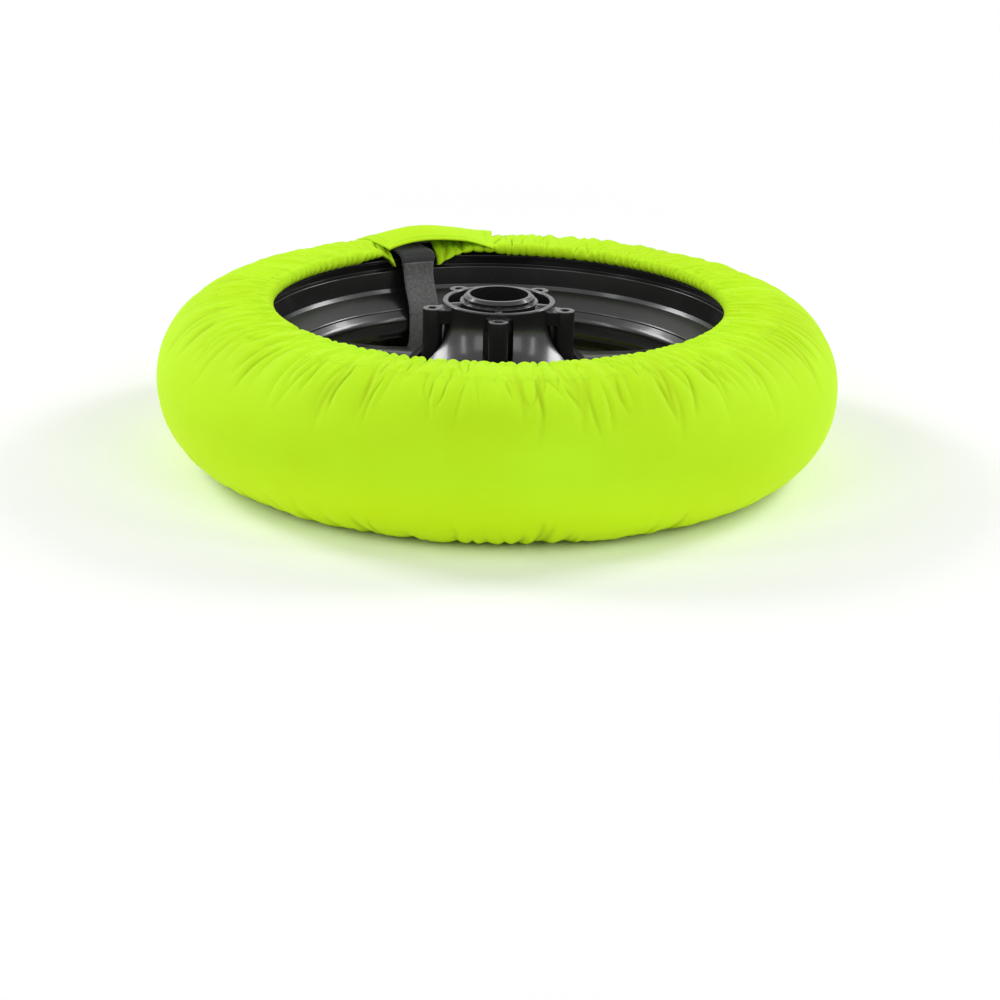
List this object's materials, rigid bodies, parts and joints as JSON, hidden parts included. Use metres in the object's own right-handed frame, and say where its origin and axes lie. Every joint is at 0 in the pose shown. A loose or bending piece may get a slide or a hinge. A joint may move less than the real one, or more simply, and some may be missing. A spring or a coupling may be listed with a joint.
{
  "type": "motorcycle tire warmer",
  "caption": "Padded fabric sleeve with gathered side skirts, heating tape and a strapped closure, fitted round the tyre of a cast motorcycle wheel that lies on its side.",
  "frame": {"origin": "centre of the sleeve's underside, on the wheel's axis, at the height of the surface that it lies on", "axes": "+Z along the wheel's axis, away from the surface; the closure flap is on the +Y side, 23 degrees towards -X"},
  "size_m": [0.6239, 0.6281, 0.1594],
  "materials": {
    "neon_fabric": "smooth coated woven polyester, fluorescent yellow-green",
    "elastic_band": "woven elastic",
    "felt": "needled insulation felt",
    "heater": "flat carbon fibre heating tape in amber film",
    "lining": "heat resistant woven lining",
    "switch_case": "small steel case",
    "gland_rubber": "moulded black rubber",
    "webbing": "dark grey webbing with a fuzzy loop face",
    "tyre_rubber": "matt black rubber",
    "wheel_paint": "gloss black coated cast aluminium"
  },
  "bodies": {
    "root": {"tread_panel": "neon_fabric", "upper_skirt": "neon_fabric", "lower_skirt": "neon_fabric", "closure_flap": "neon_fabric", "upper_elastic": "elastic_band", "lower_elastic": "elastic_band", "insulation_felt": "felt", "heating_tape": "heater", "inner_lining": "lining", "heat_switch": "switch_case", "cable_gland": "gland_rubber", "loop_strip": "webbing", "hook_strip": "webbing", "upper_strap_tab": "webbing", "strap": "webbing", "lower_strap_tab": "webbing", "wheel_rim": "wheel_paint", "wheel_hub": "wheel_paint", "wheel_spoke_1": "wheel_paint", "wheel_spoke_2": "wheel_paint", "wheel_spoke_3": "wheel_paint", "wheel_spoke_4": "wheel_paint", "wheel_spoke_5": "wheel_paint", "valve_stem": "gland_rubber", "valve_cap": "gland_rubber", "tyre": "tyre_rubber"}
  },
  "joints": []
}
